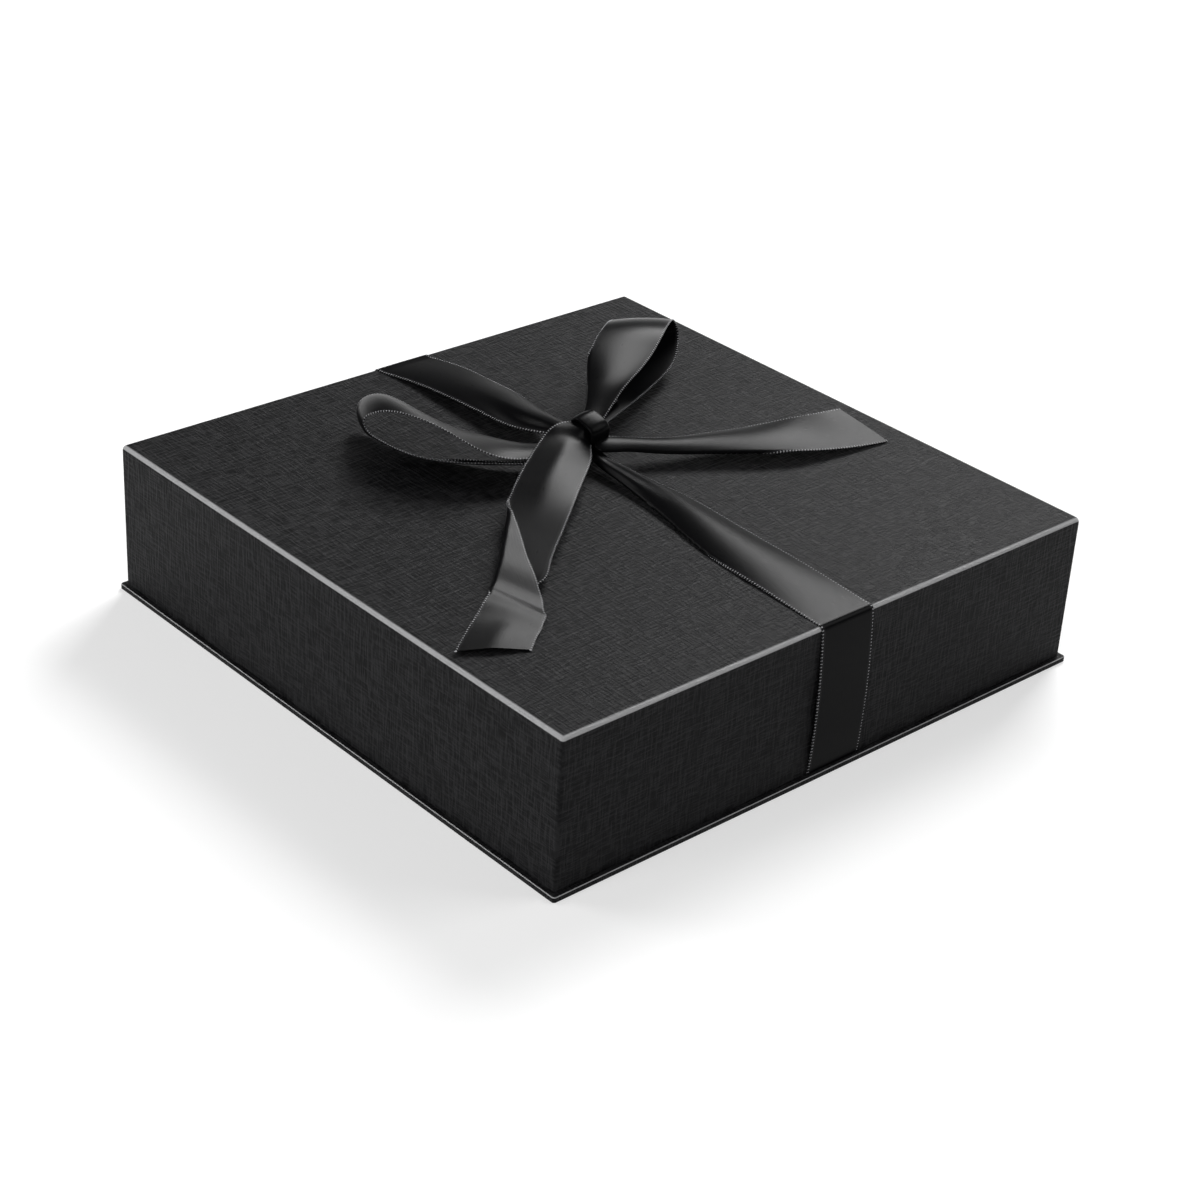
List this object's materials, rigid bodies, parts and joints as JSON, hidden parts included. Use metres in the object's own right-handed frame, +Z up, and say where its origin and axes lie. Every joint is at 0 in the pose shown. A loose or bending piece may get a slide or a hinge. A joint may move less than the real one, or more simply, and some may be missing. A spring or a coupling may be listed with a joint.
{
  "type": "gift box",
  "caption": "Square rigid gift box in black linen-embossed paper, with a lift-off lid on a tray and base board, and a satin ribbon tied in a bow on the lid.",
  "frame": {"origin": "middle of the underside, on the surface the box stands on", "axes": "+Z up; -Y is the wall with the pictured ribbon drop; +X runs to the right along that wall"},
  "size_m": [0.2536, 0.2536, 0.0861],
  "materials": {
    "greyboard": "uncoated grey millboard",
    "linen_paper": "black linen-embossed cover paper",
    "lining_paper": "smooth black uncoated lining paper",
    "gummed_tape": "brown gummed kraft tape",
    "satin_ribbon": "black polyester satin with stitched edges"
  },
  "bodies": {
    "base": {"base_board": "greyboard", "base_wrap": "linen_paper", "base_sheet": "lining_paper", "tray_board": "greyboard", "tray_corner_stays": "gummed_tape", "tray_wrap": "linen_paper", "tray_liner": "lining_paper"},
    "lid": {"lid_board": "greyboard", "lid_corner_stays": "gummed_tape", "lid_wrap": "linen_paper", "lid_liner": "lining_paper", "ribbon_front_drop": "satin_ribbon", "ribbon_back_drop": "satin_ribbon", "ribbon_front_arm": "satin_ribbon", "ribbon_back_arm": "satin_ribbon", "bow_knot": "satin_ribbon", "bow_left_loop": "satin_ribbon", "bow_upper_loop": "satin_ribbon", "bow_front_tail": "satin_ribbon", "bow_right_tail": "satin_ribbon"}
  },
  "joints": [
    {"name": "lid_lift", "type": "slide", "parent": "base", "child": "lid", "axis": [0, 0, 1], "range_m": [0, 0.06]}
  ]
}
